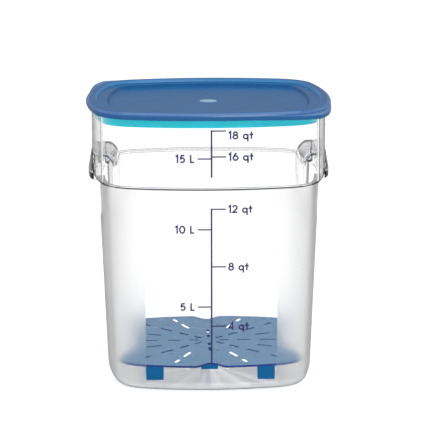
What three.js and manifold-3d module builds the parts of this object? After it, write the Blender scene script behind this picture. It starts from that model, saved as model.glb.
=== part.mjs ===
// Square food storage tub with a press-on lid, a sealing ring and a lift-out drain shelf.
// Millimetres, +Z up. The origin is the centre of the underside; the front faces -Y.

import * as THREE from 'three';
import { mergeVertices } from 'three/addons/utils/BufferGeometryUtils.js';
import Module from 'manifold-3d';

// ---------------------------------------------------------------- driving dimensions

const TUB_HEIGHT = 321;
const COLLAR_HALF = 137;
const COLLAR_CORNER = 46;
const COLLAR_SIDE_RADIUS = 364;
const SHOULDER_Z = 240;
const SHOULDER_HALF = 130.5;
const BASE_HALF = 120.5;
const BODY_CORNER = 40;
const BASE_FILLET = 12;
const WALL = 3;
const LID_HALF = 143.5;
const LID_CORNER = 56;
const LID_TOP_Z = 328.4;
const GAP = 0.3;

// The handles, one on the left and one on the right.
const HANDLE_HALF_LENGTH = 46;
const POCKET_HALF_LENGTH = 42;
const POCKET_TOP_Z = 264;
const POCKET_WALL_X = 109.5;
const POCKET_ROOF_RADIUS = 14;
const POCKET_CORNER = 14;
const SCOOP_KNEE_Z = 216;
const SCOOP_FOOT_Z = 180;
const LIP_TOP_Z = 264;
const LIP_BOTTOM_Z = 236;
const LIP_KNEE_Z = LIP_BOTTOM_Z + 8;
const LIP_OUTER_X = 141.5;
const LIP_THICKNESS = 3.5;
// How far a cutter runs past the surface that it opens.
const CUT_PAST = 4;

// The shelf.
const SHELF_HALF = 117.3;
const SHELF_CORNER = 36;
const SHELF_TOP_Z = 30.5;
const SHELF_THICKNESS = 2.5;
const SHELF_WAIST_X = 88;
const SHELF_TIP_Y = 76;
const NOTCH_HALF_WIDTH = 19;
const NOTCH_DEPTH = 15;
const SLOT_WIDTH = 3;
const LEG_SIZE = [21, 12];

// Steps around the plan outline: per side and per corner.
const SIDE_STEPS = 6;
const CORNER_STEPS = 7;
const STEPS_AROUND = 4 * (SIDE_STEPS + CORNER_STEPS);

const wasm = await Module();
wasm.setup();

// ---------------------------------------------------------------- solids

function geometryToSolid(geometry) {
  const bare = geometry.clone();
  bare.deleteAttribute('normal');
  bare.deleteAttribute('uv');
  const merged = mergeVertices(bare, 1e-4);
  const index = merged.index.array;
  const triangles = [];
  for (let i = 0; i < index.length; i += 3) {
    const [a, b, c] = [index[i], index[i + 1], index[i + 2]];
    if (a !== b && b !== c && c !== a) triangles.push(a, b, c);
  }
  return new wasm.Manifold(new wasm.Mesh({
    numProp: 3,
    vertProperties: new Float32Array(merged.attributes.position.array),
    triVerts: new Uint32Array(triangles),
  }));
}

function solidToGeometry(solid) {
  const mesh = solid.getMesh();
  const geometry = new THREE.BufferGeometry();
  geometry.setAttribute('position', new THREE.BufferAttribute(mesh.vertProperties, 3));
  geometry.setIndex(new THREE.BufferAttribute(mesh.triVerts, 1));
  geometry.computeVertexNormals();
  return geometry;
}

// ---------------------------------------------------------------- plan outlines

// Where the arcs of a bowed square meet: four shallow side arcs, tangent to four corner arcs.
function bowedSquare(half, corner) {
  const sideRadius = COLLAR_SIDE_RADIUS + half - COLLAR_HALF;
  const sideCentre = sideRadius - half;
  const reach = sideRadius - corner;
  const centre = (Math.sqrt(2 * reach * reach - sideCentre * sideCentre) - sideCentre) / 2;
  return { sideRadius, sideCentre, centre, corner, turn: Math.atan2(centre, sideCentre + centre) };
}

// Points around a bowed square, counterclockwise from the middle of the front side.
function planOutline(half, corner) {
  const plan = bowedSquare(half, corner);
  const points = [];
  for (let side = 0; side < 4; side += 1) {
    const quarter = [];
    for (let i = 0; i < SIDE_STEPS; i += 1) {
      const angle = plan.turn * ((2 * i) / SIDE_STEPS - 1);
      quarter.push([
        plan.sideRadius * Math.cos(angle) - plan.sideCentre,
        plan.sideRadius * Math.sin(angle),
      ]);
    }
    for (let i = 0; i < CORNER_STEPS; i += 1) {
      const angle = plan.turn + ((Math.PI / 2 - 2 * plan.turn) * i) / CORNER_STEPS;
      quarter.push([
        plan.centre + corner * Math.cos(angle),
        plan.centre + corner * Math.sin(angle),
      ]);
    }
    const spin = (side - 1) * (Math.PI / 2);
    for (const [x, y] of quarter) {
      points.push(new THREE.Vector2(x, y).rotateAround(new THREE.Vector2(), spin));
    }
  }
  return points;
}

// A lathe turned around a bowed square. Each profile row is [half width, z, corner radius],
// and a row of half width 0 lies on the axis.
function squareLathe(profile) {
  const rows = profile.map(([half, z]) => new THREE.Vector2(half, z));
  const geometry = new THREE.LatheGeometry(rows, STEPS_AROUND);
  const position = geometry.attributes.position;
  profile.forEach(([half, z, corner], row) => {
    const ring = half > 0 ? planOutline(half, corner) : null;
    for (let step = 0; step <= STEPS_AROUND; step += 1) {
      const point = ring ? ring[step % STEPS_AROUND] : new THREE.Vector2();
      position.setXYZ(step * profile.length + row, point.x, point.y, z);
    }
  });
  return geometryToSolid(geometry);
}

// Rows that follow an offset of the collar's own outline.
function collarRow(half, z) {
  return [half, z, COLLAR_CORNER + half - COLLAR_HALF];
}

// ---------------------------------------------------------------- tub

function bodyHalf(z) {
  return BASE_HALF + ((SHOULDER_HALF - BASE_HALF) * z) / SHOULDER_Z;
}

// Rows of a rounded bottom edge, from the flat underside up to the wall.
function filletRows(inset, floorZ, radius) {
  const rows = [];
  const steps = 4;
  for (let i = 0; i <= steps; i += 1) {
    const angle = (Math.PI / 2) * (i / steps);
    const z = floorZ + radius * (1 - Math.cos(angle));
    const pull = radius * (1 - Math.sin(angle));
    rows.push([bodyHalf(z) - inset - pull, z, BODY_CORNER - inset - pull * 0.6]);
  }
  return rows;
}

function tubShell() {
  const inner = filletRows(WALL, WALL, BASE_FILLET - WALL);
  return squareLathe([
    [0, 0, 0],
    ...filletRows(0, 0, BASE_FILLET),
    [SHOULDER_HALF, SHOULDER_Z - 1, BODY_CORNER],
    collarRow(COLLAR_HALF - 1, SHOULDER_Z),
    collarRow(COLLAR_HALF, SHOULDER_Z + 1.2),
    collarRow(COLLAR_HALF, TUB_HEIGHT - 0.8),
    collarRow(COLLAR_HALF - 0.8, TUB_HEIGHT),
    collarRow(COLLAR_HALF - WALL + 0.8, TUB_HEIGHT),
    collarRow(COLLAR_HALF - WALL, TUB_HEIGHT - 0.8),
    collarRow(COLLAR_HALF - WALL, SHOULDER_Z + 4.5),
    [SHOULDER_HALF - WALL, SHOULDER_Z + 1.5, BODY_CORNER - WALL],
    ...inner.reverse(),
    [0, WALL, 0],
  ]);
}

// A solid with one outline in the XZ plane, run along Y, and rounded in plan at its inner corners.
function sidePrism(outline, halfLength, innerX) {
  const shape = new THREE.Shape(outline.map(([x, z]) => new THREE.Vector2(x, z)));
  const along = new THREE.ExtrudeGeometry(shape, { depth: 2 * halfLength, bevelEnabled: false });
  along.rotateX(Math.PI / 2);
  along.translate(0, halfLength, 0);

  const round = POCKET_CORNER;
  const outerX = COLLAR_HALF + 3 * CUT_PAST;
  const plan = new THREE.Shape();
  plan.moveTo(outerX, -halfLength);
  plan.lineTo(outerX, halfLength);
  plan.lineTo(innerX + round, halfLength);
  plan.absarc(innerX + round, halfLength - round, round, Math.PI / 2, Math.PI, false);
  plan.lineTo(innerX, -halfLength + round);
  plan.absarc(innerX + round, -halfLength + round, round, Math.PI, Math.PI * 1.5, false);
  const upright = new THREE.ExtrudeGeometry(plan, {
    depth: TUB_HEIGHT,
    bevelEnabled: false,
    curveSegments: 5,
  });
  return geometryToSolid(along).intersect(geometryToSolid(upright));
}

// The pocket's section from the scoop's knee up the wall and round the roof, with skin added.
function pocketSection(skin) {
  const wallX = POCKET_WALL_X - skin;
  const roofZ = POCKET_TOP_Z + skin;
  const roofRadius = POCKET_ROOF_RADIUS + skin;
  const section = [
    [wallX + 2, SCOOP_KNEE_Z - skin],
    [wallX, SCOOP_KNEE_Z + 8],
  ];
  const steps = 4;
  for (let i = 0; i <= steps; i += 1) {
    const angle = Math.PI - (Math.PI / 2) * (i / steps);
    section.push([
      wallX + roofRadius + roofRadius * Math.cos(angle),
      roofZ - roofRadius + roofRadius * Math.sin(angle),
    ]);
  }
  return section;
}

function pocketBump() {
  return sidePrism([
    [bodyHalf(SCOOP_FOOT_Z) - WALL / 2, SCOOP_FOOT_Z],
    ...pocketSection(WALL),
    [COLLAR_HALF - WALL / 2, POCKET_TOP_Z + WALL],
    [COLLAR_HALF - WALL / 2, SHOULDER_Z + 3],
    [SHOULDER_HALF - WALL / 2, SHOULDER_Z - 4],
  ], HANDLE_HALF_LENGTH, POCKET_WALL_X - WALL);
}

function pocketVoid() {
  const lipInnerX = LIP_OUTER_X - LIP_THICKNESS;
  const outerX = COLLAR_HALF + 11;
  return sidePrism([
    [SHOULDER_HALF + 2, SCOOP_FOOT_Z - CUT_PAST],
    ...pocketSection(0),
    [COLLAR_HALF - WALL - 1, POCKET_TOP_Z],
    [COLLAR_HALF - WALL, LIP_TOP_Z - 3],
    [lipInnerX, LIP_KNEE_Z],
    [lipInnerX, LIP_BOTTOM_Z - CUT_PAST],
    [outerX, LIP_BOTTOM_Z - CUT_PAST],
    [outerX, SCOOP_FOOT_Z - CUT_PAST],
  ], POCKET_HALF_LENGTH, POCKET_WALL_X);
}

// The flared grip lip, solid back to the tub's wall until the pocket is cut from it.
function gripLip() {
  return sidePrism([
    [COLLAR_HALF - 1.5, SHOULDER_Z + 2],
    [SHOULDER_HALF - 1.5, SHOULDER_Z - 3],
    [SHOULDER_HALF - 1.5, LIP_BOTTOM_Z],
    [LIP_OUTER_X - 1, LIP_BOTTOM_Z],
    [LIP_OUTER_X, LIP_BOTTOM_Z + 1],
    [LIP_OUTER_X, LIP_KNEE_Z],
    [COLLAR_HALF - 0.2, LIP_TOP_Z + 1],
    [COLLAR_HALF - 1.5, LIP_TOP_Z + 1],
  ], HANDLE_HALF_LENGTH, SHOULDER_HALF - 16);
}

function onOtherSide(solid) {
  const geometry = solidToGeometry(solid);
  geometry.rotateZ(Math.PI);
  return geometryToSolid(geometry);
}

function buildTub() {
  const rightHandle = pocketBump().add(gripLip());
  const rightPocket = pocketVoid();
  return tubShell()
    .add(rightHandle)
    .add(onOtherSide(rightHandle))
    .subtract(rightPocket)
    .subtract(onOtherSide(rightPocket));
}

// ---------------------------------------------------------------- lid and sealing ring

const PANEL_Z = 320.7;
const PANEL_THICKNESS = 2.8;
const PANEL_HALF = 116;
const LEDGE_Z = 324.2;
const LEDGE_HALF = 129;
const PLUG_HALF = 131;
const PLUG_BOTTOM_Z = 310.6;
const SKIRT_BOTTOM_Z = 319.6;
const TAB_TOP_Z = 324.2;
const TAB_REACH = 10;
const TAB_SPREAD = Math.PI / 6;
const TAB_SHARPNESS = 1.4;
const TAB_CLEARANCE = 3;

function lidDisc() {
  const underFlange = TUB_HEIGHT + GAP;
  const rows = [
    [PANEL_HALF - 1, PANEL_Z - PANEL_THICKNESS],
    [PANEL_HALF + 2.6, underFlange],
    [PLUG_HALF - 3.2, underFlange],
    [PLUG_HALF - 2.6, PLUG_BOTTOM_Z],
    [PLUG_HALF, PLUG_BOTTOM_Z],
    [PLUG_HALF, underFlange],
    [COLLAR_HALF + 1.6, underFlange],
    [COLLAR_HALF + 2.2, SKIRT_BOTTOM_Z],
    [LID_HALF - 1, SKIRT_BOTTOM_Z, LID_CORNER - 1],
    [LID_HALF, SKIRT_BOTTOM_Z + 1, LID_CORNER],
    [LID_HALF, LID_TOP_Z - 3.2, LID_CORNER],
    [LID_HALF - 1.2, LID_TOP_Z - 1, LID_CORNER - 1.2],
    [LID_HALF - 3.6, LID_TOP_Z, LID_CORNER - 4],
    [LEDGE_HALF + 4.4, LID_TOP_Z],
    [LEDGE_HALF + 2, LID_TOP_Z - 1.2],
    [LEDGE_HALF, LEDGE_Z],
    [PANEL_HALF + 2, LEDGE_Z],
    [PANEL_HALF, PANEL_Z],
  ];
  return squareLathe([
    [0, PANEL_Z - PANEL_THICKNESS, 0],
    ...rows.map(([half, z, corner]) => (corner ? [half, z, corner] : collarRow(half, z))),
    [0, PANEL_Z, 0],
  ]);
}

// A pull tab: the flange drawn out to a point at one corner, where its outline reaches furthest.
function pullTab(corner) {
  const outline = planOutline(LID_HALF - 0.6, LID_CORNER - 0.6).map((point) => {
    const turn = point.angle() - corner;
    const away = Math.abs(Math.atan2(Math.sin(turn), Math.cos(turn)));
    const share = Math.max(0, 1 - away / TAB_SPREAD) ** TAB_SHARPNESS;
    return point.clone().setLength(point.length() + TAB_REACH * share);
  });
  const depth = TAB_TOP_Z - SKIRT_BOTTOM_Z;
  const plate = new THREE.ExtrudeGeometry(new THREE.Shape(outline), { depth, bevelEnabled: false });
  plate.translate(0, 0, SKIRT_BOTTOM_Z);
  const clear = COLLAR_HALF + TAB_CLEARANCE;
  const opening = squareLathe([
    [0, SKIRT_BOTTOM_Z - 1, 0],
    collarRow(clear, SKIRT_BOTTOM_Z - 1),
    collarRow(clear, TAB_TOP_Z + 1),
    [0, TAB_TOP_Z + 1, 0],
  ]);
  return geometryToSolid(plate).subtract(opening);
}

function buildLid() {
  return lidDisc()
    .add(pullTab(-Math.PI / 4))
    .add(pullTab((3 * Math.PI) / 4));
}

function buildGasket() {
  const inside = PLUG_HALF + GAP;
  const outside = COLLAR_HALF - WALL - GAP;
  const bottom = PLUG_BOTTOM_Z - GAP;
  const top = TUB_HEIGHT;
  return squareLathe([
    collarRow(inside, bottom),
    collarRow(outside - 0.5, bottom),
    collarRow(outside, bottom + 1.4),
    collarRow(outside, top - 1.6),
    collarRow(outside - 0.7, top),
    collarRow(inside, top),
    collarRow(inside, bottom),
  ]);
}

// ---------------------------------------------------------------- drain shelf

// Rings of radial slots: start radius, end radius, and the rays they lie on, of sixteen.
const RAYS = 16;
const SLOT_RINGS = [
  { from: 12, to: 24, onRay: (ray) => ray % 2 === 0 },
  { from: 34, to: 49, onRay: (ray) => ray % 2 === 0 },
  { from: 61, to: 81, onRay: (ray) => ray % 8 !== 4 },
  { from: 99, to: 113, onRay: (ray) => ray % 4 === 2 },
  { from: 96, to: 108, onRay: (ray) => ray % 8 === 3 || ray % 8 === 5 },
];
const LEG_PLACES = [[-65, -73], [65, -73], [-65, 73], [65, 73], [0, -28], [0, 28]];

// Half of the plate's outline, from the front notch round the right to the back notch.
function shelfOutline() {
  const plan = bowedSquare(SHELF_HALF, SHELF_CORNER);
  const edgeY = (x) => Math.sqrt(plan.sideRadius ** 2 - x * x) - plan.sideCentre;
  const quarter = [];
  const notchSteps = 6;
  for (let i = 0; i <= notchSteps; i += 1) {
    const x = (NOTCH_HALF_WIDTH * i) / notchSteps;
    const sink = (NOTCH_DEPTH * (1 + Math.cos((Math.PI * i) / notchSteps))) / 2;
    quarter.push([x, edgeY(x) - sink]);
  }
  const sideShares = [0.45, 0.7];
  for (const share of sideShares) quarter.push([plan.centre * share, edgeY(plan.centre * share)]);
  for (let i = 0; i <= CORNER_STEPS; i += 1) {
    const angle = Math.PI / 2 - plan.turn - ((Math.PI / 2 - 2 * plan.turn) * i) / CORNER_STEPS;
    const y = plan.centre + SHELF_CORNER * Math.sin(angle);
    if (y > SHELF_TIP_Y + 3) quarter.push([plan.centre + SHELF_CORNER * Math.cos(angle), y]);
  }
  quarter.push([edgeY(SHELF_TIP_Y + 1) - 0.4, SHELF_TIP_Y + 1]);
  const tipX = edgeY(SHELF_TIP_Y) - 2;
  const waistSteps = 5;
  for (let i = 0; i < waistSteps; i += 1) {
    const share = 1 - i / waistSteps;
    quarter.push([SHELF_WAIST_X + (tipX - SHELF_WAIST_X) * share ** 2, (SHELF_TIP_Y - 2) * share]);
  }
  const half = [...quarter];
  half.push([SHELF_WAIST_X, 0]);
  for (const [x, y] of [...quarter].reverse()) half.push([x, -y]);
  const left = half.slice(1, -1).reverse().map(([x, y]) => [-x, y]);
  return [...half, ...left].map(([x, y]) => new THREE.Vector2(x, y));
}

function slotCutter(from, to, angle) {
  const bar = new THREE.BoxGeometry(to - from, SLOT_WIDTH, 3 * SHELF_THICKNESS);
  bar.translate((from + to) / 2, 0, SHELF_TOP_Z - SHELF_THICKNESS / 2);
  bar.rotateZ(angle);
  return geometryToSolid(bar);
}

function buildShelf() {
  const plate = new THREE.ExtrudeGeometry(new THREE.Shape(shelfOutline()), {
    depth: SHELF_THICKNESS,
    bevelEnabled: false,
  });
  plate.translate(0, 0, SHELF_TOP_Z - SHELF_THICKNESS);
  let solid = geometryToSolid(plate);
  for (const { from, to, onRay } of SLOT_RINGS) {
    for (let ray = 0; ray < RAYS; ray += 1) {
      if (onRay(ray)) solid = solid.subtract(slotCutter(from, to, (ray * 2 * Math.PI) / RAYS));
    }
  }
  const legBottom = WALL + GAP;
  const legTop = SHELF_TOP_Z - SHELF_THICKNESS + 0.5;
  for (const [x, y] of LEG_PLACES) {
    const leg = new THREE.BoxGeometry(LEG_SIZE[0], LEG_SIZE[1], legTop - legBottom);
    leg.translate(x, y, (legTop + legBottom) / 2);
    solid = solid.add(geometryToSolid(leg));
  }
  return solid;
}

// ---------------------------------------------------------------- scene graph

function namedMesh(name, solid, color, roughness, opacity) {
  const material = new THREE.MeshStandardMaterial({ color, roughness, metalness: 0 });
  material.transparent = opacity < 1;
  material.opacity = opacity;
  const mesh = new THREE.Mesh(solidToGeometry(solid), material);
  mesh.name = name;
  return mesh;
}

const storageTub = new THREE.Group();
storageTub.add(namedMesh('tub', buildTub(), 0xeceef0, 0.15, 0.35));
storageTub.add(namedMesh('lid', buildLid(), 0x3a5c9c, 0.3, 1));
storageTub.add(namedMesh('lid_gasket', buildGasket(), 0x37c3d0, 0.4, 1));
storageTub.add(namedMesh('drain_shelf', buildShelf(), 0x5f8fb8, 0.4, 1));

export default storageTub;
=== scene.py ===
"""Square food storage tub with lid, sealing ring and drain shelf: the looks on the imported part."""

import math

import bmesh
import bpy
from mathutils import Matrix, Vector


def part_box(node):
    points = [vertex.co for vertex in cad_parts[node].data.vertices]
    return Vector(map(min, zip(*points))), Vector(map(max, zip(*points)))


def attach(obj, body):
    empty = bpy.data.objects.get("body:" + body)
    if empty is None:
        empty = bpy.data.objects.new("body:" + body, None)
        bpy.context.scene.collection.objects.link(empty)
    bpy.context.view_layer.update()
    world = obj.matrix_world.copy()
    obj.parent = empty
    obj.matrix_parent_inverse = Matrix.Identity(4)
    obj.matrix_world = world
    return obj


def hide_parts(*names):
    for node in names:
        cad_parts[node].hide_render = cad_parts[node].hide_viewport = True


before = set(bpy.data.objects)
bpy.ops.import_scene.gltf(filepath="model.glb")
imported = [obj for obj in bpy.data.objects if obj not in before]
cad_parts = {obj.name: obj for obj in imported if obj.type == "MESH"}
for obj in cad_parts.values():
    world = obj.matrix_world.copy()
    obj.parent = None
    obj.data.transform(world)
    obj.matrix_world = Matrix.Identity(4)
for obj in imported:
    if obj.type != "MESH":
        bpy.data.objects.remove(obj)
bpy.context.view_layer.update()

# ------------------------------------------------------------------ sizes, in millimetres

MM = 0.001
_, tub_high = (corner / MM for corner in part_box("tub"))
lid_low, lid_high = (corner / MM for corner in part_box("lid"))
_, seal_high = (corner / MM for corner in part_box("lid_gasket"))
shelf_low, shelf_high = (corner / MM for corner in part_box("drain_shelf"))

RIM_Z = tub_high.z
COLLAR_HALF = tub_high.y
COLLAR_CORNER = 46
SIDE_RADIUS = 364
SHOULDER_Z = 240
SHOULDER_HALF = 130.5
BASE_HALF = 120.5
BODY_CORNER = 40
BASE_FILLET = 12
WALL = 3
WINDOW_HALF = 75.5
WINDOW_LOW = 8
FRONT_FROM_Y = -BASE_HALF * 0.8
# How far in and how high the collar's lowest outer edge is painted nearly black as shade.
SHADE_EDGE_REACH = 1.8
SHADE_EDGE_TOP_Z = SHOULDER_Z + 3
CLEAR_SLOT = 0
SATIN_SLOT = 1
SHADE_EDGE_SLOT = 2
SIDE_STEPS = 20
CORNER_STEPS = 14


# ------------------------------------------------------------------ outlines and meshes


def corner_turn(half, corner):
    """Where a corner arc meets the shallow side arc of a bowed square: its centre and its angle."""
    side_radius = SIDE_RADIUS + half - COLLAR_HALF
    side_centre = side_radius - half
    reach = side_radius - corner
    centre = (math.sqrt(2 * reach**2 - side_centre**2) - side_centre) / 2
    return centre, math.atan2(centre, side_centre + centre)


def plan_outline(half, corners):
    """Points round a bowed square, counterclockwise from the front side's left end.

    corners are the radii of the front right, back right, back left and front left corners."""
    side_radius = SIDE_RADIUS + half - COLLAR_HALF
    side_centre = side_radius - half
    points = []
    for side in range(4):
        _, before = corner_turn(half, corners[side - 1])
        centre, after = corner_turn(half, corners[side])
        quarter = []
        for i in range(SIDE_STEPS):
            angle = -before + (before + after) * i / SIDE_STEPS
            x = side_radius * math.cos(angle) - side_centre
            quarter.append((x, side_radius * math.sin(angle)))
        for i in range(CORNER_STEPS):
            angle = after + (math.pi / 2 - 2 * after) * i / CORNER_STEPS
            x = centre + corners[side] * math.cos(angle)
            quarter.append((x, centre + corners[side] * math.sin(angle)))
        spin = (side - 1) * math.pi / 2
        turn = Matrix.Rotation(spin, 2)
        points.extend(turn @ Vector(p) for p in quarter)
    return points


def collar_corner(half):
    """Corner radius of an outline that runs parallel to the collar's own."""
    return COLLAR_CORNER + half - COLLAR_HALF


def front_y(x, z):
    """The tub's outer front face at x and z."""
    half = body_half(z) if z < SHOULDER_Z else COLLAR_HALF
    side_radius = SIDE_RADIUS + half - COLLAR_HALF
    return side_radius - half - math.sqrt(side_radius**2 - x**2)


def body_half(z):
    return BASE_HALF + (SHOULDER_HALF - BASE_HALF) * z / SHOULDER_Z


def rounded(path, steps=4):
    """A profile with its bends rounded. path holds (half, z) or (half, z, radius) points."""
    out = []
    for i, entry in enumerate(path):
        point = Vector(entry[:2])
        radius = entry[2] if len(entry) > 2 else 0
        if not radius or i in (0, len(path) - 1):
            out.append(point)
            continue
        back = Vector(path[i - 1][:2]) - point
        ahead = Vector(path[i + 1][:2]) - point
        opening = back.angle(ahead)
        cut = min(radius / math.tan(opening / 2), 0.48 * back.length, 0.48 * ahead.length)
        start = point + back.normalized() * cut
        end = point + ahead.normalized() * cut
        for k in range(steps + 1):
            t = k / steps
            out.append(start * (1 - t) ** 2 + point * 2 * t * (1 - t) + end * t**2)
    return out


def mesh_object(name, bm, materials):
    mesh = bpy.data.meshes.new(name)
    bm.to_mesh(mesh)
    bm.free()
    thing = bpy.data.objects.new(name, mesh)
    bpy.context.scene.collection.objects.link(thing)
    for material in materials:
        mesh.materials.append(material)
    return thing


def apply_modifiers(piece):
    bpy.context.view_layer.update()
    graph = bpy.context.evaluated_depsgraph_get()
    result = bpy.data.meshes.new_from_object(piece.evaluated_get(graph))
    piece.modifiers.clear()
    piece.data = result


def smooth_by_angle(piece, degrees=32):
    """Smooth shading with sharp edges kept, and normals that leave the broad faces flat."""
    piece.data.shade_smooth()
    piece.data.set_sharp_from_angle(angle=math.radians(degrees))
    weighted = piece.modifiers.new("weighted", "WEIGHTED_NORMAL")
    weighted.keep_sharp = True
    weighted.weight = 100
    apply_modifiers(piece)


def skin_rings(bm, rings, closed=False, slots=None):
    """Quads between rings of vertices. A ring of one vertex is a point on the axis.

    slots gives the material index of the faces after each ring."""
    made = []
    for ring in rings:
        made.append([bm.verts.new(Vector(p) * MM) for p in ring])
    pairs = list(zip(made, made[1:]))
    if closed:
        pairs.append((made[-1], made[0]))
    for row, (low, high) in enumerate(pairs):
        count = max(len(low), len(high))
        for i in range(count):
            j = (i + 1) % count
            corners = [low[i % len(low)], low[j % len(low)], high[j % len(high)], high[i % len(high)]]
            unique = list(dict.fromkeys(corners))
            if len(unique) > 2:
                face = bm.faces.new(unique)
                face.material_index = slots[row] if slots else 0
    return made


def square_loft(profile, corner_of, closed=False, slots=None, bend=None):
    """A bmesh turned square round the axis. corner_of gives the corner radius or radii of a row."""
    bm = bmesh.new()
    rings = []
    for half, z in profile:
        if half <= 0:
            rings.append([(0, 0, z)])
            continue
        corners = corner_of(half, z)
        if not isinstance(corners, (list, tuple)):
            corners = [corners] * 4
        outline = plan_outline(half, corners)
        rings.append(bend(outline, half, z) if bend else [(x, y, z) for x, y in outline])
    skin_rings(bm, rings, closed, slots)
    bmesh.ops.recalc_face_normals(bm, faces=bm.faces)
    return bm


def station_loft(name, stations, materials, slot_of=None):
    """A closed solid through like-numbered outlines, one for each station, with flat ends."""
    bm = bmesh.new()
    made = skin_rings(bm, stations)
    bm.faces.new(made[0])
    bm.faces.new(made[-1])
    bmesh.ops.recalc_face_normals(bm, faces=bm.faces)
    if slot_of:
        for face in bm.faces:
            face.material_index = slot_of(face.calc_center_median() / MM)
    return mesh_object(name, bm, materials)


def combine(base, tool, operation):
    """Joins tool to base, or cuts it away, and removes tool."""
    modifier = base.modifiers.new("combine", "BOOLEAN")
    modifier.operation = operation
    modifier.solver = "EXACT"
    modifier.object = tool
    apply_modifiers(base)
    bpy.data.objects.remove(tool)


# ------------------------------------------------------------------ materials


class Nodes:
    """A short way to write a node tree."""

    def __init__(self, name):
        self.material = bpy.data.materials.new(name)
        self.material.use_nodes = True
        self.tree = self.material.node_tree
        self.tree.nodes.clear()
        self.out = self.add("ShaderNodeOutputMaterial")

    def add(self, kind, **values):
        node = self.tree.nodes.new(kind)
        for key, value in values.items():
            if hasattr(node, key):
                setattr(node, key, value)
            else:
                node.inputs[key.replace("_", " ")].default_value = value
        return node

    def link(self, source, target):
        self.tree.links.new(source, target)

    def ramp(self, source, stops):
        node = self.add("ShaderNodeValToRGB")
        elements = node.color_ramp.elements
        while len(elements) < len(stops):
            elements.new(0.5)
        for element, (place, colour) in zip(elements, stops):
            element.position = place
            element.color = (*colour, 1)
        self.link(source, node.inputs["Fac"])
        return node.outputs["Color"]

    def noise(self, scale, detail=3.0):
        where = self.add("ShaderNodeTexCoord")
        node = self.add("ShaderNodeTexNoise")
        node.inputs["Scale"].default_value = scale
        node.inputs["Detail"].default_value = detail
        self.link(where.outputs["Object"], node.inputs["Vector"])
        return node.outputs["Fac"]

    def bump(self, height, strength, distance):
        node = self.add("ShaderNodeBump")
        node.inputs["Strength"].default_value = strength
        node.inputs["Distance"].default_value = distance
        self.link(height, node.inputs["Height"])
        return node.outputs["Normal"]

    def facing(self, blend=0.5):
        node = self.add("ShaderNodeLayerWeight")
        node.inputs["Blend"].default_value = blend
        return node.outputs["Facing"]


def grey(value):
    return (value, value, value)


def let_lamps_through(nodes, shader, tint):
    """Glass as the camera sees it, while lamps light what is inside the tub."""
    open_way = nodes.add("ShaderNodeBsdfTransparent")
    open_way.inputs["Color"].default_value = (*tint, 1)
    path = nodes.add("ShaderNodeLightPath")
    mix = nodes.add("ShaderNodeMixShader")
    nodes.link(path.outputs["Is Shadow Ray"], mix.inputs["Fac"])
    nodes.link(shader.outputs["BSDF"], mix.inputs[1])
    nodes.link(open_way.outputs["BSDF"], mix.inputs[2])
    nodes.link(mix.outputs["Shader"], nodes.out.inputs["Surface"])


def clear_wall():
    """Polished polycarbonate: clear face on, greyer where the wall is seen along its length: painted
    shade at the edges, standing in partly for the longer path through the plastic.
    """
    n = Nodes("clear_polycarbonate")
    shader = n.add("ShaderNodeBsdfPrincipled")
    shader.inputs["Transmission Weight"].default_value = 1
    shader.inputs["IOR"].default_value = 1.5
    shader.inputs["Roughness"].default_value = 0.0
    shader.inputs["Specular Tint"].default_value = (*grey(0.2), 1)
    # The grey ramp on the facing is painted shade towards the grazing edges.
    stops = [(0.0, grey(1.0)), (0.62, grey(0.99)), (0.86, grey(0.88)), (1.0, grey(0.6))]
    tint = n.ramp(n.facing(0.5), stops)
    n.link(tint, shader.inputs["Base Color"])
    let_lamps_through(n, shader, grey(0.95))
    return n.material


def painted_shade_edge():
    """The collar's lowest outer edge, nearly black: painted shade for the dark line that the bend of
    thick clear plastic shows.
    """
    n = Nodes("clear_edge_painted_shade")
    shader = n.add("ShaderNodeBsdfPrincipled")
    shader.inputs["Transmission Weight"].default_value = 0.15
    shader.inputs["IOR"].default_value = 1.5
    shader.inputs["Roughness"].default_value = 0.05
    tone = n.ramp(n.noise(80, 3), [(0.3, grey(0.03)), (0.7, grey(0.05))])
    n.link(tone, shader.inputs["Base Color"])
    let_lamps_through(n, shader, grey(0.8))
    return n.material


def satin_wall():
    """The finely textured outside of the body: light comes through, shapes behind it blur."""
    n = Nodes("satin_polycarbonate")
    shader = n.add("ShaderNodeBsdfPrincipled")
    shader.inputs["Transmission Weight"].default_value = 1
    shader.inputs["IOR"].default_value = 1.5
    shader.inputs["Roughness"].default_value = 0.42
    # The grey ramp on the facing is painted shade towards the grazing edges, standing in partly for the
    # longer path through the plastic.
    stops = [(0.0, grey(1.0)), (0.5, grey(0.98)), (0.8, grey(0.9)), (1.0, grey(0.7))]
    tint = n.ramp(n.facing(0.5), stops)
    n.link(tint, shader.inputs["Base Color"])
    n.link(n.bump(n.noise(2400), 0.25, 0.00004), shader.inputs["Normal"])
    let_lamps_through(n, shader, grey(0.95))
    return n.material


def moulded(name, dark, light, roughness, ior, glow=0.0):
    """Opaque moulded plastic, a little uneven in colour, with a fine grain that breaks up its gloss.

    glow stands in for the light that passes through thin pieces."""
    n = Nodes(name)
    shader = n.add("ShaderNodeBsdfPrincipled")
    colour = n.ramp(n.noise(14, 4), [(0.3, dark), (0.7, light)])
    n.link(colour, shader.inputs["Base Color"])
    shader.inputs["IOR"].default_value = ior
    rough = n.ramp(n.noise(60, 3), [(0.3, grey(roughness * 0.85)), (0.7, grey(roughness * 1.15))])
    n.link(rough, shader.inputs["Roughness"])
    n.link(n.bump(n.noise(900, 2), 0.4, 0.000004), shader.inputs["Normal"])
    if glow:
        shader.inputs["Emission Color"].default_value = (*light, 1)
        shader.inputs["Emission Strength"].default_value = glow
    n.link(shader.outputs["BSDF"], n.out.inputs["Surface"])
    return n.material


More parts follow.
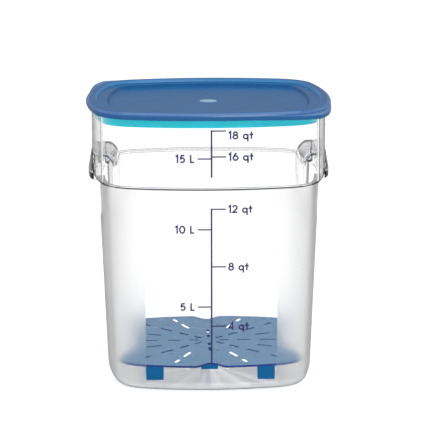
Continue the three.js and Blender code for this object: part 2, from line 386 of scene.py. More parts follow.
def ink():
    n = Nodes("printed_ink")
    shader = n.add("ShaderNodeBsdfPrincipled")
    colour = n.ramp(n.noise(700, 3), [(0.3, (0.016, 0.015, 0.12)), (0.7, (0.025, 0.022, 0.15))])
    n.link(colour, shader.inputs["Base Color"])
    shader.inputs["Roughness"].default_value = 0.5
    n.link(shader.outputs["BSDF"], n.out.inputs["Surface"])
    return n.material


CLEAR = clear_wall()
CLEAR_SHADE_EDGE = painted_shade_edge()
SATIN = satin_wall()
LID_BLUE = moulded("lid_blue", (0.002, 0.07, 0.205), (0.003, 0.08, 0.23), 0.22, 1.17)
# The rim's steep walls get a lighter blue with a glow: painted light, standing in for light from behind
# that passes through the thin walls.
LID_RIM_LIT = moulded("lid_rim_painted_backlight", (0.03, 0.17, 0.37), (0.04, 0.2, 0.42), 0.3, 1.3, 0.1)
# A pale lavender line along the lid's rounded top edge: a painted highlight.
LID_EDGE_HIGHLIGHT = moulded("lid_edge_painted_highlight", (0.12, 0.18, 0.42), (0.15, 0.21, 0.48), 0.15, 1.5)
# The skirt gets its own copy of the lid blue, lighter and glossier than the panel's: painted light and
# shade on that side of the lid.
LID_SKIRT = moulded("lid_skirt", (0.016, 0.1, 0.28), (0.022, 0.115, 0.31), 0.2, 1.4)
# The ring's glow is painted light: it brightens the ring in the shade under the lid, standing in for
# light passing through it.
SEAL_TEAL = moulded("seal_teal", (0.02, 0.57, 0.68), (0.03, 0.62, 0.74), 0.35, 1.2, 0.35)
GATE_MARK = moulded("gate_mark", (0.15, 0.27, 0.4), (0.19, 0.32, 0.46), 0.5, 1.3)
SHELF_BLUE = moulded("shelf_blue", (0.065, 0.21, 0.38), (0.08, 0.23, 0.42), 0.25, 1.52)
# The legs get their own deeper, duller copy of the shelf blue and a glow: painted light that brightens
# them in the shade under the plate.
LEG_BLUE = moulded("shelf_leg_blue", (0.0005, 0.15, 0.4), (0.001, 0.17, 0.44), 0.4, 1.05, 0.15)
# Slot walls and the plate's edge: a navy copy of the shelf blue as painted shade, and a pale glowing one
# as painted light.
SLOT_WALL_SHADE = moulded("slot_wall_painted_shade", (0.01, 0.04, 0.22), (0.015, 0.055, 0.27), 0.5, 1.2)
SLOT_WALL_LIGHT = moulded("slot_wall_painted_light", (0.8, 0.88, 0.95), (0.9, 0.95, 1.0), 0.4, 1.4, 0.6)
INK = ink()
TUB_MATERIALS = [CLEAR, SATIN, CLEAR_SHADE_EDGE]
LID_MATERIALS = [LID_BLUE, LID_RIM_LIT, GATE_MARK, LID_EDGE_HIGHLIGHT, LID_SKIRT]
SHELF_MATERIALS = [SHELF_BLUE, LEG_BLUE, SLOT_WALL_SHADE, SLOT_WALL_LIGHT]


# ------------------------------------------------------------------ tub


def tub_corner(half, z):
    if z > SHOULDER_Z + 0.6 or half > SHOULDER_HALF + 0.6:
        return collar_corner(half)
    inset = body_half(z) - half
    return max(BODY_CORNER - inset, 8)


def tub_shell():
    inner_base = body_half(WALL) - WALL
    inner_collar = COLLAR_HALF - WALL
    profile = rounded([
        (0, 0),
        (body_half(0), 0, BASE_FILLET),
        (SHOULDER_HALF, SHOULDER_Z - 1.2, 1.2),
        (COLLAR_HALF, SHOULDER_Z, 1.6),
        (COLLAR_HALF, RIM_Z, 1.2),
        (inner_collar, RIM_Z, 1.2),
        (inner_collar, SHOULDER_Z + 1.8, 0.8),
        (SHOULDER_HALF - WALL, SHOULDER_Z + 1.4, 1.2),
        (inner_base, WALL, BASE_FILLET - WALL),
        (0, WALL),
    ], steps=6)
    shoulder_row = next(i for i, (_, z) in enumerate(profile) if z > SHOULDER_Z - 2)
    slots = [SATIN_SLOT if row < shoulder_row else CLEAR_SLOT for row in range(len(profile))]
    # The collar's lowest outer edge gets the nearly black material: painted shade.
    for row, (half, z) in enumerate(profile[:-1]):
        if half > COLLAR_HALF - SHADE_EDGE_REACH and profile[row + 1][1] < SHADE_EDGE_TOP_Z:
            slots[row] = SHADE_EDGE_SLOT
    bm = square_loft(profile, tub_corner, slots=slots)
    open_window(bm)
    return mesh_object("tub_shell", bm, TUB_MATERIALS)


def open_window(bm):
    """Cuts the edges of the polished window into the satin front, and gives it the clear material."""
    for place, normal in (
        ((-WINDOW_HALF, 0, 0), (1, 0, 0)),
        ((WINDOW_HALF, 0, 0), (1, 0, 0)),
        ((0, 0, WINDOW_LOW), (0, 0, 1)),
    ):
        front = [
            f for f in bm.faces
            if f.material_index == SATIN_SLOT and f.calc_center_median().y < FRONT_FROM_Y * MM
        ]
        edges = {e for f in front for e in f.edges}
        corners = {v for f in front for v in f.verts}
        parts = front + list(edges) + list(corners)
        bmesh.ops.bisect_plane(bm, geom=parts, plane_co=Vector(place) * MM, plane_no=normal)
    for face in bm.faces:
        centre = face.calc_center_median() / MM
        in_front = centre.y < FRONT_FROM_Y and centre.z > WINDOW_LOW
        inside = in_front and abs(centre.x) < WINDOW_HALF
        if face.material_index == SATIN_SLOT and inside:
            face.material_index = CLEAR_SLOT


# ------------------------------------------------------------------ handles

LIP_X = tub_high.x
LIP_THICKNESS = 3
LIP_TOP_Z = 265
LIP_BOTTOM_Z = 236
LIP_ROOT = 1.5
LIP_STEP = 0.8
POCKET_BITE = 0.8
HANDLE_HALF = 46
POCKET_HALF = 42
POCKET_X = 109.5
POCKET_ROOF_Z = 264
ROOF_RADIUS = 14
ROOF_DROP = 7
ROOF_STEPS = 8
SCOOP_KNEE_Z = 216
SCOOP_FOOT_Z = 180
STATIONS = 25


def end_round(y, half, power=7):
    """1 in the middle of a handle, falling smoothly to 0 at its ends."""
    return max(0, 1 - (abs(y) / half) ** power) ** (1 / power)


def collar_x(y):
    return math.sqrt(SIDE_RADIUS**2 - y * y) - SIDE_RADIUS + COLLAR_HALF


def body_x(y, z):
    half = body_half(z)
    radius = SIDE_RADIUS + half - COLLAR_HALF
    return math.sqrt(radius**2 - y * y) - radius + half


def pocket_profile(y, skin):
    """The pocket's wall at y, from the scoop's knee up and round the roof, with skin added."""
    share = end_round(y, HANDLE_HALF + 1 if skin else POCKET_HALF + 1.5)
    anchor = SHOULDER_HALF - WALL / 2
    roof_z = POCKET_ROOF_Z + skin - ROOF_DROP * (1 - share)
    radius = ROOF_RADIUS + skin
    points = [(POCKET_X - skin + 2, SCOOP_KNEE_Z - skin), (POCKET_X - skin, SCOOP_KNEE_Z + 8)]
    for i in range(ROOF_STEPS + 1):
        angle = math.pi * (1 - i / (2 * ROOF_STEPS))
        points.append((
            POCKET_X - skin + radius * (1 + math.cos(angle)),
            roof_z - radius * (1 - math.sin(angle)),
        ))
    return [(anchor + (x - anchor) * share, z) for x, z in points]


def stations(half):
    """Places along a handle, closer together towards its ends."""
    return [half * math.sin(math.pi / 2 * (2 * i / (STATIONS - 1) - 1)) for i in range(STATIONS)]


def pocket_bump(side):
    rings = []
    for y in stations(HANDLE_HALF):
        outline = [(body_x(y, SCOOP_FOOT_Z) - WALL / 2, SCOOP_FOOT_Z), *pocket_profile(y, WALL)]
        outline += [
            (collar_x(y) - WALL / 2, outline[-1][1]),
            (collar_x(y) - WALL / 2, SHOULDER_Z + 3),
            (body_x(y, SHOULDER_Z) - WALL / 2, SHOULDER_Z - 4),
        ]
        rings.append([(side * x, side * y, z) for x, z in outline])
    return station_loft("bump", rings, TUB_MATERIALS)


def lip_x(y):
    return collar_x(y) + (LIP_X - COLLAR_HALF) * end_round(y, HANDLE_HALF, 3)


def grip_lip(side):
    rings = []
    for y in stations(HANDLE_HALF - 0.5):
        outer = lip_x(y)
        outline = rounded([
            (collar_x(y) - LIP_ROOT, SHOULDER_Z + 2),
            (body_x(y, SHOULDER_Z) - 1.5, SHOULDER_Z - 3),
            (body_x(y, LIP_BOTTOM_Z) - 1.5, LIP_BOTTOM_Z),
            (outer, LIP_BOTTOM_Z, 1.4),
            (outer, LIP_BOTTOM_Z + 8, 5),
            (collar_x(y) + LIP_STEP, LIP_TOP_Z),
            (collar_x(y) - LIP_ROOT, LIP_TOP_Z + LIP_STEP),
        ])
        rings.append([(side * x, side * y, z) for x, z in outline])
    return station_loft("lip", rings, TUB_MATERIALS)


def pocket_slot(centre):
    """Material of a face cut by the pocket: satin in the scoop, clear higher up."""
    return SATIN_SLOT if centre.z < SHOULDER_Z - 4 else CLEAR_SLOT


def pocket_void(side):
    rings = []
    for y in stations(POCKET_HALF):
        inner = lip_x(y) - LIP_THICKNESS
        outline = [(SHOULDER_HALF + 2, SCOOP_FOOT_Z - 4), *pocket_profile(y, 0)]
        roof_z = outline[-1][1]
        outline += rounded([
            (collar_x(y) - WALL + POCKET_BITE, roof_z),
            (collar_x(y) - WALL + POCKET_BITE, LIP_TOP_Z - 6, 3),
            (inner, LIP_BOTTOM_Z + 8, 5),
            (inner, LIP_BOTTOM_Z - 4),
        ])
        outline += [(COLLAR_HALF + 11, LIP_BOTTOM_Z - 4), (COLLAR_HALF + 11, SCOOP_FOOT_Z - 4)]
        rings.append([(side * x, side * y, z) for x, z in outline])
    return station_loft("void", rings, TUB_MATERIALS, pocket_slot)


def build_tub():
    tub = tub_shell()
    tub.name = "storage_tub"
    for side in (-1, 1):
        combine(tub, pocket_bump(side), "UNION")
        combine(tub, grip_lip(side), "UNION")
        combine(tub, pocket_void(side), "DIFFERENCE")
    smooth_by_angle(tub)
    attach(tub, "tub")
    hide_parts("tub")
    return tub


# ------------------------------------------------------------------ lid and sealing ring

LID_HALF = lid_high.x
LID_CORNER = 56
LID_TOP_Z = lid_high.z
PANEL_Z = 320.7
PANEL_THICKNESS = 2.8
PANEL_HALF = 116
LEDGE_Z = 324.2
LEDGE_HALF = 129
PLUG_HALF = 131
PLUG_BOTTOM_Z = lid_low.z
SKIRT_BOTTOM_Z = 319.6
TAB_TOP_Z = 324.2
TAB_REACH = 10
TAB_SPREAD = 30
TAB_SHARPNESS = 1.4
TAB_DIRECTION = -45
TAB_LIFT_BACK = 3
TAB_LIFT_FRONT = -1.2
GATE_RADIUS = 10
PANEL_SLOT = 0
LIT_RIM_SLOT = 1
GATE_SLOT = 2
HIGHLIGHT_LINE_SLOT = 3
SKIRT_SLOT = 4


def lid_corner(half, z):
    """Corner radius of a lid row."""
    if half < COLLAR_HALF + 3:
        return max(collar_corner(half), min(half, 12))
    return LID_CORNER + half - LID_HALF


def reach_out(points, half, z):
    """Two opposite corners of the flange's lower rows reach out as pull tabs.

    The back one is bent up a little and the front one slightly down."""
    out = []
    for x, y in points:
        off_tab = abs((math.degrees(math.atan2(y, x)) - TAB_DIRECTION + 90) % 180 - 90)
        share = max(0, 1 - off_tab / TAB_SPREAD) ** TAB_SHARPNESS
        if z > TAB_TOP_Z + 0.1 or half < COLLAR_HALF + 4:
            share = 0
        pull = 1 + TAB_REACH * share / math.hypot(x, y)
        out.append((x * pull, y * pull, z + share * (TAB_LIFT_BACK if y > 0 else TAB_LIFT_FRONT)))
    return out


def lid_slot(row, ahead):
    """Material of the lid's faces from one profile row to the next."""
    half, z = row
    if half > LID_HALF - 1.6 and z > SKIRT_BOTTOM_Z - 0.5:
        # The thin row on the rounded top edge is painted pale as a highlight; the rest of the skirt gets
        # its own blue.
        on_highlight = z > TAB_TOP_Z + 0.5 and half > LID_HALF - 1
        return HIGHLIGHT_LINE_SLOT if on_highlight else SKIRT_SLOT
    if half <= GATE_RADIUS + 0.5 and z > PANEL_Z - 0.1:
        return GATE_SLOT
    # Steep walls of the rim get the lighter, glowing blue: painted light.
    steep = abs(ahead[1] - z) > 0.8 * abs(ahead[0] - half)
    in_rim = z > LEDGE_Z + 2 and LEDGE_HALF < half < LEDGE_HALF + 5
    return LIT_RIM_SLOT if steep and in_rim else PANEL_SLOT


def build_lid():
    under_flange = RIM_Z + 0.3
    under_panel = PANEL_Z - PANEL_THICKNESS
    profile = rounded([
        (0, under_panel),
        (PANEL_HALF - 1, under_panel, 1.5),
        (PANEL_HALF + 2.6, under_flange, 1.5),
        (PLUG_HALF - 3, under_flange, 1),
        (PLUG_HALF - 2.6, PLUG_BOTTOM_Z, 0.5),
        (PLUG_HALF, PLUG_BOTTOM_Z, 0.7),
        (PLUG_HALF, under_flange, 0.3),
        (COLLAR_HALF + 1.6, under_flange, 0.8),
        (COLLAR_HALF + 2.2, SKIRT_BOTTOM_Z, 0.5),
        (LID_HALF - 1.2, SKIRT_BOTTOM_Z, 1),
        (LID_HALF, SKIRT_BOTTOM_Z + 2.2, 1),
        (LID_HALF, TAB_TOP_Z, 0.6),
        (LID_HALF - 1, TAB_TOP_Z + 1.7, 1),
        (LID_HALF - 4.5, LID_TOP_Z, 2.5),
        (LEDGE_HALF + 4, LID_TOP_Z - 0.1, 1.2),
        (LEDGE_HALF + 2.8, LEDGE_Z + 2.1),
        (LEDGE_HALF + 1.6, LEDGE_Z, 0.9),
        (PANEL_HALF + 3, LEDGE_Z, 0.9),
        (PANEL_HALF, PANEL_Z, 0.7),
        (GATE_RADIUS + 0.4, PANEL_Z),
        (GATE_RADIUS, PANEL_Z + 0.25),
        (0, PANEL_Z + 0.25),
    ], steps=4)
    slots = [lid_slot(row, ahead) for row, ahead in zip(profile, profile[1:] + profile[-1:])]
    bm = square_loft(profile, lid_corner, slots=slots, bend=reach_out)
    lid = mesh_object("tub_lid", bm, LID_MATERIALS)
    smooth_by_angle(lid)
    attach(lid, "lid")
    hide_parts("lid")


def build_seal():
    inside = PLUG_HALF + 0.2
    outside = seal_high.y
    bottom = PLUG_BOTTOM_Z - 0.3
    top = seal_high.z
    profile = rounded([
        (inside, bottom),
        (outside - 0.2, bottom, 0.6),
        (outside, bottom + 1.2, 0.6),
        (outside - 0.35, bottom + 2.2, 0.5),
        (outside - 0.35, top - 2.2, 0.5),
        (outside, top - 1.2, 0.6),
        (outside - 0.3, top, 0.5),
        (inside, top),
    ], steps=3)
    bm = square_loft(profile, lambda half, z: collar_corner(half), closed=True)
    seal = mesh_object("sealing_ring", bm, [SEAL_TEAL])
    smooth_by_angle(seal)
    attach(seal, "lid")
    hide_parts("lid_gasket")


# ------------------------------------------------------------------ drain shelf

SHELF_HALF = shelf_high.y
SHELF_CORNER = 36
SHELF_TOP_Z = shelf_high.z
SHELF_THICKNESS = 2.5
SHELF_WAIST_X = 88
SHELF_TIP_Y = 76
NOTCH_HALF = 19
NOTCH_DEPTH = 15
SLOT_WIDTH = 3
EDGE_ROUND = 0.35
CURVE_STEPS = 16
STRAIGHT_STEPS = 8
SHELF_BLUE_SLOT = 0
LEG_SLOT = 1
SHADED_WALL_SLOT = 2
LIT_WALL_SLOT = 3
# The two bearings, in degrees off the front or back, between which slot walls are painted pale as light.
PALE_FROM = 16
PALE_TO = 28
LEG_WIDTH = 21
LEG_DEPTH = 12
LEG_PLACES = [(x, y) for x in (-65, 65) for y in (-73, 73)] + [(0, -28), (0, 28)]
RAYS = 16
SLOT_RINGS = [
    (12, 24, lambda ray: ray % 2 == 0),
    (34, 49, lambda ray: ray % 2 == 0),
    (61, 81, lambda ray: ray % 8 != 4),
    (99, 113, lambda ray: ray % 4 == 2),
    (96, 108, lambda ray: ray % 8 in (3, 5)),
]


def shelf_outline():
    """The plate's edge: bowed front and back with finger notches, and hollow sides."""
    radius = SIDE_RADIUS + SHELF_HALF - COLLAR_HALF
    centre, turn = corner_turn(SHELF_HALF, SHELF_CORNER)

    def edge(along):
        return math.sqrt(radius**2 - along**2) - radius + SHELF_HALF

    quarter = []
    for i in range(CURVE_STEPS + 1):
        x = NOTCH_HALF * i / CURVE_STEPS
        sink = NOTCH_DEPTH * (1 + math.cos(math.pi * i / CURVE_STEPS)) / 2
        quarter.append((x, edge(x) - sink))
    for i in range(1, STRAIGHT_STEPS):
        x = NOTCH_HALF + (centre - NOTCH_HALF) * i / STRAIGHT_STEPS
        quarter.append((x, edge(x)))
    for i in range(CURVE_STEPS + 1):
        angle = math.pi / 2 - turn - (math.pi / 2 - 2 * turn) * i / CURVE_STEPS
        x = centre + SHELF_CORNER * math.cos(angle)
        quarter.append((x, centre + SHELF_CORNER * math.sin(angle)))
    quarter = [p for p in quarter if p[1] > SHELF_TIP_Y + 2.5]
    tip_x = edge(SHELF_TIP_Y)
    tip = rounded([quarter[-1], (tip_x, SHELF_TIP_Y + 0.6, 3), (tip_x - 3, SHELF_TIP_Y - 6)])
    quarter += [tuple(p) for p in tip[1:-1]]
    start = quarter[-1]
    for i in range(1, CURVE_STEPS + 1):
        share = 1 - i / CURVE_STEPS
        quarter.append((SHELF_WAIST_X + (start[0] - SHELF_WAIST_X) * share**2, start[1] * share))
    half = quarter + [(x, -y) for x, y in reversed(quarter[:-1])]
    return half + [(-x, y) for x, y in reversed(half[1:-1])]


def slot_outline(start, end, angle):
    """A slot with round ends."""
    radius = SLOT_WIDTH / 2
    points = []
    for centre, first in ((end - radius, -90), (start + radius, 90)):
        for i in range(7):
            turn = math.radians(first + 30 * i)
            points.append(Vector((centre + radius * math.cos(turn), radius * math.sin(turn))))
    return [Matrix.Rotation(angle, 2) @ p for p in points]


def flat_solid(name, outlines, low, high, edge, materials):
    """A plate with holes between two heights, its edges rounded."""
    curve = bpy.data.curves.new(name, "CURVE")
    curve.dimensions = "2D"
    curve.fill_mode = "BOTH"
    for outline in outlines:
        spline = curve.splines.new("POLY")
        spline.points.add(len(outline) - 1)
        for point, (x, y) in zip(spline.points, outline):
            point.co = (x * MM, y * MM, 0, 1)
        spline.use_cyclic_u = True
    curve.extrude = ((high - low) / 2 - edge) * MM
    curve.bevel_depth = edge * MM
    curve.bevel_resolution = 1
    curve.offset = -edge * MM
    source = bpy.data.objects.new(name, curve)
    bpy.context.scene.collection.objects.link(source)
    bpy.context.view_layer.update()
    mesh = bpy.data.meshes.new_from_object(source.evaluated_get(bpy.context.evaluated_depsgraph_get()))
    bpy.data.objects.remove(source)
    mesh.transform(Matrix.Translation((0, 0, (low + high) / 2 * MM)))
    mesh.materials.clear()
    bm = bmesh.new()
    bm.from_mesh(mesh)
    bmesh.ops.remove_doubles(bm, verts=bm.verts, dist=0.00001)
    bmesh.ops.recalc_face_normals(bm, faces=bm.faces)
    bpy.data.meshes.remove(mesh)
    return mesh_object(name, bm, materials)


def rounded_rectangle(width, depth, radius, steps=4):
    points = []
    for quarter, (sx, sy) in enumerate(((1, 1), (-1, 1), (-1, -1), (1, -1))):
        for i in range(steps + 1):
            angle = math.radians(90 * (quarter + i / steps))
            points.append((
                sx * (width / 2 - radius) + radius * math.cos(angle),
                sy * (depth / 2 - radius) + radius * math.sin(angle),
            ))
    return points


def shelf_leg(x, y):
    """A slightly tapered post with rounded edges."""
    rings = []
    foot = shelf_low.z
    head = SHELF_TOP_Z - SHELF_THICKNESS + 0.4
    rows = ((foot, 1.6, 1), (foot + 0.6, 1.0, 1.5), (foot + 1.4, 0.8, 1.6), (head, 0, 2))
    for z, shrink, radius in rows:
        outline = rounded_rectangle(LEG_WIDTH - shrink, LEG_DEPTH - shrink, radius)
        rings.append([(x + px, y + py, z) for px, py in outline])
    return station_loft("leg", rings, SHELF_MATERIALS, lambda centre: LEG_SLOT)


def plate_slot(face):
    """Material of a face in the plate. Its edge and the walls of its slots are navy, painted shade, and
    the walls of two slots on each ray near the front and back are pale with a glow, painted light."""
    centre = face.center / MM
    reach = math.hypot(centre.x, centre.y)
    if abs(face.normal.z) > 0.5:
        return SHELF_BLUE_SLOT
    from_front = math.degrees(math.atan2(abs(centre.x), abs(centre.y)))
    # Slot walls near the front and back bearings are painted pale as light; the other walls and the edge
    # are painted navy as shade.
    in_reach = SLOT_RINGS[2][0] - 1 < reach < SLOT_RINGS[4][1] + 1
    return LIT_WALL_SLOT if in_reach and PALE_FROM < from_front < PALE_TO else SHADED_WALL_SLOT


def build_shelf():
    slots = []
    for start, end, on_ray in SLOT_RINGS:
        for ray in range(RAYS):
            if on_ray(ray):
                slots.append(slot_outline(start, end, math.tau * ray / RAYS))
    shelf = flat_solid(
        "slotted_shelf", [shelf_outline(), *slots],
        SHELF_TOP_Z - SHELF_THICKNESS, SHELF_TOP_Z, EDGE_ROUND, SHELF_MATERIALS,
    )
    for face in shelf.data.polygons:
        face.material_index = plate_slot(face)
    for x, y in LEG_PLACES:
        combine(shelf, shelf_leg(x, y), "UNION")
    smooth_by_angle(shelf)
    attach(shelf, "drain_shelf")
    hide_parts("drain_shelf")


# ------------------------------------------------------------------ printed scale

LINE_WIDTH = 1.9
STROKE = 1.8
TEXT_HEIGHT = 9.3
LETTER_GAP = 0.17
SPACE = 0.42
TICK_RIGHT = 16.4
TICK_LEFT = 15.6
RIGHT_TEXT_X = 19
LEFT_TEXT_X = -19.6
INK_LIFT = 0.05
INK_THICKNESS = 0.12
QUART = 0.946353
MM3_PER_LITRE = 1e6
TICK_WIDTH = LINE_WIDTH * 0.8
LOWER_LINE_FOOT_Z = 36
UPPER_LINE_FOOT_Z = SHOULDER_Z + 14.5
QUART_MARKS = (4, 8, 12, 16, 18)
LITRE_MARKS = (5, 10, 15)
# The marks stand this much above the volumes computed from the outline, for no known reason.
MARK_RISE = 1.9


def ellipse(cx, cy, rx, ry, first, last, steps=20):
    """Points on an ellipse between two angles in degrees."""
    return [
        (cx + rx * math.cos(math.radians(first + (last - first) * i / steps)),
         cy + ry * math.sin(math.radians(first + (last - first) * i / steps)))
        for i in range(steps + 1)
    ]


# Each glyph: its width and its strokes, on a cap height of 1. Strokes run down the line's middle.
GLYPHS = {
    "0": (0.74, [ellipse(0.37, 0.5, 0.3, 0.42, 0, 360)]),
    "1": (0.32, [[(0.03, 0.76), (0.25, 0.95), (0.25, 0.0)]]),
    "2": (0.64, [ellipse(0.31, 0.67, 0.24, 0.25, 170, -32, 14) + [(0.08, 0.09), (0.61, 0.09)]]),
    "4": (0.72, [[(0.7, 0.27), (0.07, 0.27), (0.51, 0.92), (0.51, 0.0)]]),
    "5": (0.66, [
        [(0.58, 0.91), (0.22, 0.91), (0.15, 0.55)] + ellipse(0.3, 0.35, 0.28, 0.27, 125, -140, 16),
    ]),
    "6": (0.72, [ellipse(0.36, 0.34, 0.28, 0.26, 0, 360), [(0.12, 0.48), (0.46, 0.98)]]),
    "8": (0.7, [ellipse(0.35, 0.71, 0.21, 0.2, 0, 360), ellipse(0.35, 0.3, 0.27, 0.22, 0, 360)]),
    "q": (0.62, [ellipse(0.3, 0.32, 0.26, 0.26, 0, 360), [(0.56, 0.62), (0.56, -0.3)]]),
    "t": (0.5, [[(0.2, 0.0), (0.2, 0.9)], [(-0.04, 0.56), (0.44, 0.56)]]),
    "L": (0.5, [[(0.09, 1.0), (0.09, 0.09), (0.5, 0.09)]]),
}


def ribbon(points, width):
    """Left and right edges of a line of even width, with mitred bends."""
    closed = math.dist(points[0], points[-1]) < 1e-6
    path = [Vector(p) for p in (points[:-1] if closed else points)]
    left, right = [], []
    for i, point in enumerate(path):
        before = path[i - 1] if closed or i > 0 else None
        after = path[(i + 1) % len(path)] if closed or i < len(path) - 1 else None
        into = (point - before).normalized() if before is not None else (after - point).normalized()
        out = (after - point).normalized() if after is not None else into
        normal = Vector((-(into.y + out.y), into.x + out.x)).normalized()
        reach = width / 2 / max(0.35, normal.dot(Vector((-into.y, into.x))))
        left.append(point + normal * reach)
        right.append(point - normal * reach)
    return left, right, closed


def add_ribbon(bm, points, width):
    """A thin strip of ink along points in x and z, laid on the tub's front."""
    left, right, closed = ribbon(points, width)
    rings = []
    for a, b in zip(left, right):
        ring = []
        for lift in (INK_LIFT, INK_LIFT + INK_THICKNESS):
            row = [(p.x, front_y(p.x, p.y) - lift, p.y) for p in (a, b)]
            ring += row if lift == INK_LIFT else row[::-1]
        rings.append(ring)
    made = skin_rings(bm, rings, closed)
    if not closed:
        bm.faces.new(made[0])
        bm.faces.new(made[-1])


def split_long(points, step=6):
    """Adds points to long straight strokes, so that they follow the wall's curve."""
    out = [Vector(points[0])]
    for point in points[1:]:
        start, end = out[-1], Vector(point)
        count = max(1, math.ceil((end - start).length / step))
        out += [start.lerp(end, i / count) for i in range(1, count + 1)]
    return [tuple(p) for p in out]


def text_width(text):
    width = 0
    for letter in text:
        width += SPACE if letter == " " else GLYPHS[letter][0] + LETTER_GAP
    return (width - LETTER_GAP) * TEXT_HEIGHT


def add_text(bm, text, x, z):
    """Writes text with its left end at x and its baseline at z."""
    for letter in text:
        if letter == " ":
            x += SPACE * TEXT_HEIGHT
            continue
        width, strokes = GLYPHS[letter]
        for stroke in strokes:
            points = [(x + px * TEXT_HEIGHT, z + pz * TEXT_HEIGHT) for px, pz in stroke]
            add_ribbon(bm, points, STROKE)
        x += (width + LETTER_GAP) * TEXT_HEIGHT


def inner_area(z):
    """Area of the tub's inside at z, in square millimetres, from the plan outline."""
    if z > SHOULDER_Z:
        half, corner = COLLAR_HALF - WALL, COLLAR_CORNER - WALL
    else:
        half, corner = body_half(z) - WALL, BODY_CORNER - WALL
        sunk = max(0, BASE_FILLET - z)
        pull = (BASE_FILLET - WALL) - math.sqrt(max(0, (BASE_FILLET - WALL) ** 2 - sunk**2))
        half, corner = half - pull, corner - pull
    points = plan_outline(half, [corner] * 4)
    return abs(sum(a.x * b.y - b.x * a.y for a, b in zip(points, points[1:] + points[:1]))) / 2


def height_of(litres):
    """How high the tub is filled by this much."""
    step = 1
    z, volume = WALL, 0
    while volume < litres * MM3_PER_LITRE:
        volume += inner_area(z + step / 2) * step
        z += step
    return z - (volume - litres * MM3_PER_LITRE) / inner_area(z)


def build_scale():
    bm = bmesh.new()
    quarts = {count: height_of(count * QUART) + MARK_RISE for count in QUART_MARKS}
    litres = {count: height_of(count) + MARK_RISE for count in LITRE_MARKS}
    for low_end, high_end in ((UPPER_LINE_FOOT_Z, quarts[18]), (LOWER_LINE_FOOT_Z, quarts[12])):
        add_ribbon(bm, split_long([(0, low_end), (0, high_end + LINE_WIDTH / 2)]), LINE_WIDTH)
    for count, z in quarts.items():
        add_ribbon(bm, split_long([(LINE_WIDTH / 2, z), (TICK_RIGHT, z)]), TICK_WIDTH)
        drop = TEXT_HEIGHT + 0.4 if count == 18 else TEXT_HEIGHT / 2
        add_text(bm, f"{count} qt", RIGHT_TEXT_X, z - drop)
    for count, z in litres.items():
        add_ribbon(bm, split_long([(-LINE_WIDTH / 2, z), (-TICK_LEFT, z)]), TICK_WIDTH)
        label = f"{count} L"
        add_text(bm, label, LEFT_TEXT_X - text_width(label), z - TEXT_HEIGHT / 2)
    bmesh.ops.recalc_face_normals(bm, faces=bm.faces)
    scale = mesh_object("printed_scale", bm, [INK])
    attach(scale, "tub")


# ------------------------------------------------------------------ camera, light and floor

CAMERA_AZIMUTH = -1.6
CAMERA_ELEVATION = 11.63
CAMERA_ROLL = -0.15
CAMERA_DISTANCE = 2.617
CAMERA_TARGET = Vector((0.0036, 0, 0.1877))
LENS = 187.3
SENSOR_WIDTH = 36
FLOOR_GLOW = 0.62
FLOOR_ALBEDO = 0.42
MIRRORED_FLOOR = 0.22
HORIZON_LIGHT = 0.25
SKY_STRENGTH = 1.3
SKY_DARK_AT = 0.25
SKY_WHITE_AT = 0.65
FLOOR_RADIUS = 6000
FLOOR_SIDES = 64


def make_camera():
    azimuth, elevation, roll = (math.radians(a) for a in (CAMERA_AZIMUTH, CAMERA_ELEVATION, CAMERA_ROLL))
    back = Vector((
        math.sin(azimuth) * math.cos(elevation),
        -math.cos(azimuth) * math.cos(elevation),
        math.sin(elevation),
    ))
    data = bpy.data.cameras.new("camera")
    data.lens = LENS
    data.sensor_width = SENSOR_WIDTH
    data.clip_end = 50
    camera = bpy.data.objects.new("camera", data)
    bpy.context.scene.collection.objects.link(camera)
    turn = back.to_track_quat("Z", "Y").to_matrix() @ Matrix.Rotation(roll, 3, "Z")
    camera.matrix_world = Matrix.Translation(CAMERA_TARGET + back * CAMERA_DISTANCE) @ turn.to_4x4()
    bpy.context.scene.camera = camera


def make_world():
    """Soft light from above that falls off to the horizon and gives clear plastic its grey edges."""
    world = bpy.data.worlds.new("studio")
    world.use_nodes = True
    tree = world.node_tree
    where = tree.nodes.new("ShaderNodeTexCoord")
    split = tree.nodes.new("ShaderNodeSeparateXYZ")
    ramp = tree.nodes.new("ShaderNodeValToRGB")
    elements = ramp.color_ramp.elements
    elements[0].position = SKY_DARK_AT
    elements[0].color = (*grey(HORIZON_LIGHT), 1)
    elements[1].position = SKY_WHITE_AT
    elements[1].color = (1, 1, 1, 1)
    tree.links.new(where.outputs["Generated"], split.inputs["Vector"])
    tree.links.new(split.outputs["Z"], ramp.inputs["Fac"])
    tree.links.new(ramp.outputs["Color"], tree.nodes["Background"].inputs["Color"])
    tree.nodes["Background"].inputs["Strength"].default_value = SKY_STRENGTH
    bpy.context.scene.world = world


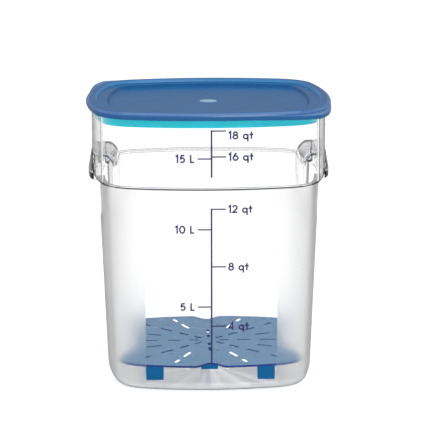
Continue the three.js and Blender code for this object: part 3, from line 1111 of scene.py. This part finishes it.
def make_floor():
    """A white table lit from below, as used to photograph clear goods."""
    n = Nodes("floor_white")
    shader = n.add("ShaderNodeBsdfPrincipled")
    shader.inputs["Base Color"].default_value = (*grey(FLOOR_ALBEDO), 1)
    shader.inputs["Roughness"].default_value = 0.8
    shader.inputs["Specular IOR Level"].default_value = 0.1
    shader.inputs["Emission Color"].default_value = (1, 1, 1, 1)
    shader.inputs["Emission Strength"].default_value = FLOOR_GLOW
    # Glossy reflections see the floor as a dull grey instead of its glow: painted darker reflections.
    dull = n.add("ShaderNodeBsdfDiffuse")
    dull.inputs["Color"].default_value = (*grey(MIRRORED_FLOOR), 1)
    path = n.add("ShaderNodeLightPath")
    mirrored = n.add("ShaderNodeMath", operation="MULTIPLY")
    n.link(path.outputs["Is Glossy Ray"], mirrored.inputs[0])
    n.link(path.outputs["Is Reflection Ray"], mirrored.inputs[1])
    mix = n.add("ShaderNodeMixShader")
    n.link(mirrored.outputs["Value"], mix.inputs["Fac"])
    n.link(shader.outputs["BSDF"], mix.inputs[1])
    n.link(dull.outputs["BSDF"], mix.inputs[2])
    n.link(mix.outputs["Shader"], n.out.inputs["Surface"])
    bm = bmesh.new()
    rim = []
    for i in range(FLOOR_SIDES):
        angle = math.tau * i / FLOOR_SIDES
        rim.append((FLOOR_RADIUS * math.cos(angle), FLOOR_RADIUS * math.sin(angle), 0))
    skin_rings(bm, [[(0, 0, 0)], rim])
    floor = mesh_object("floor", bm, [n.material])


def make_light(name, place, size, watts, target=(0, 0, 0.15)):
    data = bpy.data.lights.new(name, "AREA")
    data.shape = "RECTANGLE"
    data.size, data.size_y = size
    data.energy = watts
    lamp = bpy.data.objects.new(name, data)
    bpy.context.scene.collection.objects.link(lamp)
    lamp.location = place
    lamp.rotation_euler = (Vector(target) - Vector(place)).to_track_quat("-Z", "Y").to_euler()


make_camera()
make_world()
make_floor()
make_light("key", (0.5, -1.5, 1.9), (0.8, 0.8), 12)
make_light("overhead", (0, 0.2, 2.6), (2.2, 1.2), 14)
bpy.context.scene.view_settings.view_transform = "Standard"
build_tub()
build_lid()
build_seal()
build_shelf()
build_scale()
